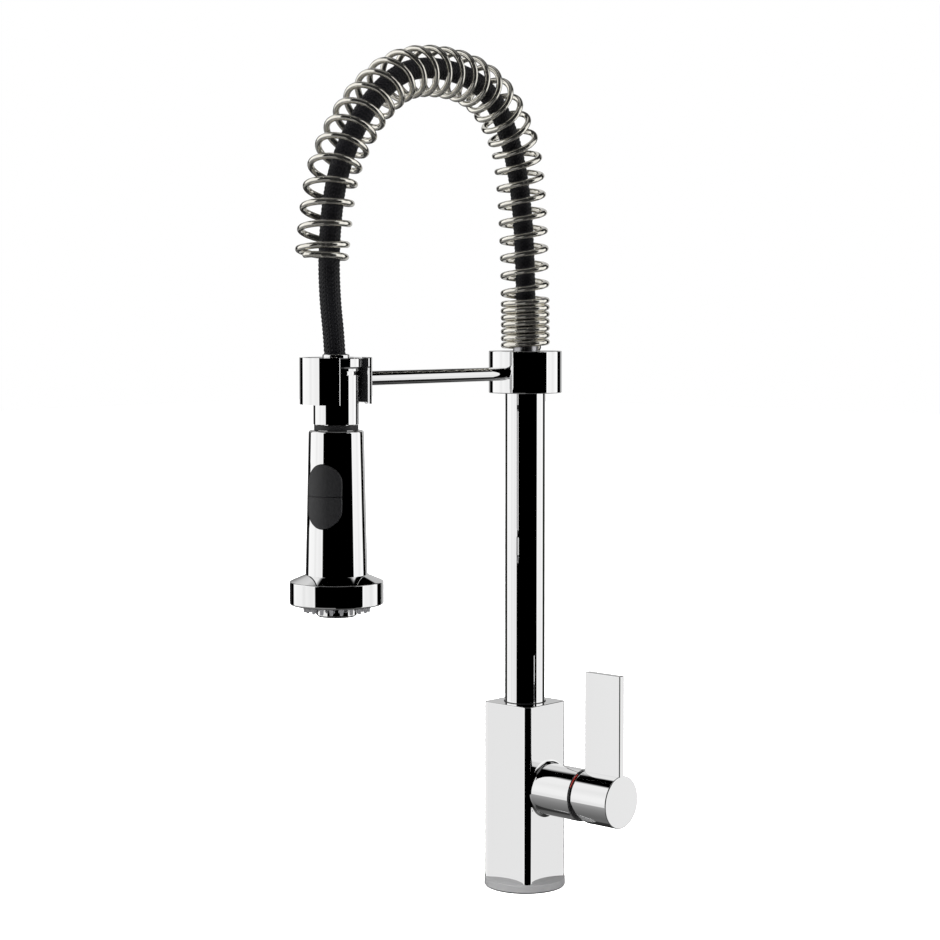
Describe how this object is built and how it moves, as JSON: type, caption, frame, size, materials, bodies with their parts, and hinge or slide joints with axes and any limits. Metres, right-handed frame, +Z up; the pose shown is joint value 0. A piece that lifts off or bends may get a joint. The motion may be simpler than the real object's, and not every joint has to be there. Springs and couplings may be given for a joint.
{
  "type": "pull-down kitchen faucet",
  "caption": "Single-lever kitchen faucet with a square body, tall round column, coil-sprung hose hoop and a pull-down spray head parked in a C-shaped dock on a thin arm.",
  "frame": {"origin": "centre of the shank socket's mouth, on the deck under the base", "axes": "+Z up along the column, -Y towards the docked spray head, +X along the lever boss"},
  "size_m": [0.1121, 0.2327, 0.5559],
  "materials": {
    "chrome": "mirror polished chrome plate",
    "plated_plastic": "chrome-plated plastic",
    "satin_metal": "satin grey metal",
    "brass": "machined",
    "steel": "plain",
    "spring_steel": "bright nickel-plated wire",
    "black_plastic": "satin black",
    "inner_plastic": "natural acetal",
    "ceramic": "lapped alumina ceramic",
    "rubber": "matte",
    "nozzle_rubber": "grey silicone",
    "face_plastic": "satin dark grey",
    "hose_braid": "black nylon braid",
    "hot_red": "gloss",
    "cold_blue": "gloss"
  },
  "bodies": {
    "base": {"base_gasket": "rubber", "base_ring": "satin_metal", "valve_body": "chrome", "swivel_bushing": "black_plastic", "column_retaining_screw": "steel", "cartridge_seals": "rubber", "cartridge_body": "inner_plastic", "fixed_ceramic_disc": "ceramic", "cartridge_nut": "brass", "indicator_ring": "black_plastic", "hot_mark": "hot_red", "cold_mark": "cold_blue"},
    "handle_carrier": {"cartridge_carrier": "inner_plastic", "tilt_pin": "steel"},
    "disc_slider": {"disc_coupler": "inner_plastic", "moving_ceramic_disc": "ceramic"},
    "handle": {"lever_stem": "steel", "lever_handle": "chrome", "lever_set_screw": "steel"},
    "spout": {"column_spigot": "brass", "spigot_orings": "rubber", "column_tube": "chrome", "column_collar": "chrome", "collar_set_screw": "steel", "hose_inlet_fitting": "brass", "hose_inlet_ferrule": "steel", "hose": "hose_braid", "hoop_spring": "spring_steel", "dock_arm": "chrome", "dock_holder": "chrome", "dock_liner": "black_plastic"},
    "spray_neck": {"spray_neck": "chrome", "hose_outlet_ferrule": "chrome", "hose_seal": "rubber", "neck_check_valve": "inner_plastic", "neck_oring": "rubber", "swivel_washer": "black_plastic", "swivel_nut": "brass"},
    "spray_head": {"head_shell": "plated_plastic", "rocker_pin": "steel", "diverter_body": "black_plastic", "spray_disc_ring": "plated_plastic", "spray_face_plate": "face_plastic", "nozzle_mat": "nozzle_rubber", "aerator_housing": "chrome", "aerator_insert": "inner_plastic"},
    "rocker": {"function_rocker": "black_plastic"},
    "diverter": {"diverter_spool": "inner_plastic"}
  },
  "joints": [
    {"name": "column_swivel", "type": "hinge", "parent": "base", "child": "spout", "pos_m": [0, 0, 0.12], "axis": [0, 0, 1], "continuous": true},
    {"name": "handle_turn", "type": "hinge", "parent": "base", "child": "handle_carrier", "pos_m": [0.048, 0, 0.0682], "axis": [1, 0, 0], "range_deg": [-45, 45]},
    {"name": "handle_tilt", "type": "hinge", "parent": "handle_carrier", "child": "handle", "pos_m": [0.048, 0, 0.0682], "axis": [0, 1, 0], "range_deg": [0, 22]},
    {"name": "disc_slide", "type": "slide", "parent": "handle_carrier", "child": "disc_slider", "axis": [0, 0, 1], "range_m": [0, 0.0039]},
    {"name": "head_pull", "type": "slide", "parent": "spout", "child": "spray_neck", "axis": [0, 0, -1], "range_m": [0, 0.15], "stiffness_N_per_m": 80, "springref_m": -0.12, "deforming": ["hose"]},
    {"name": "head_swivel", "type": "hinge", "parent": "spray_neck", "child": "spray_head", "pos_m": [0, -0.1765, 0.3095], "axis": [0, 0, 1], "continuous": true},
    {"name": "rocker_tilt", "type": "hinge", "parent": "spray_head", "child": "rocker", "pos_m": [0.00371, -0.18791, 0.2755], "axis": [0.9511, 0.309, 0], "range_deg": [-4, 4]},
    {"name": "diverter_slide", "type": "slide", "parent": "spray_head", "child": "diverter", "axis": [0, 0, 1], "range_m": [-0.0006, 0.0006]}
  ],
  "couplings": [
    {"joint": "disc_slide", "follows": "handle_tilt", "m_per_rad": 0.01},
    {"joint": "diverter_slide", "follows": "rocker_tilt", "m_per_rad": 0.007}
  ]
}
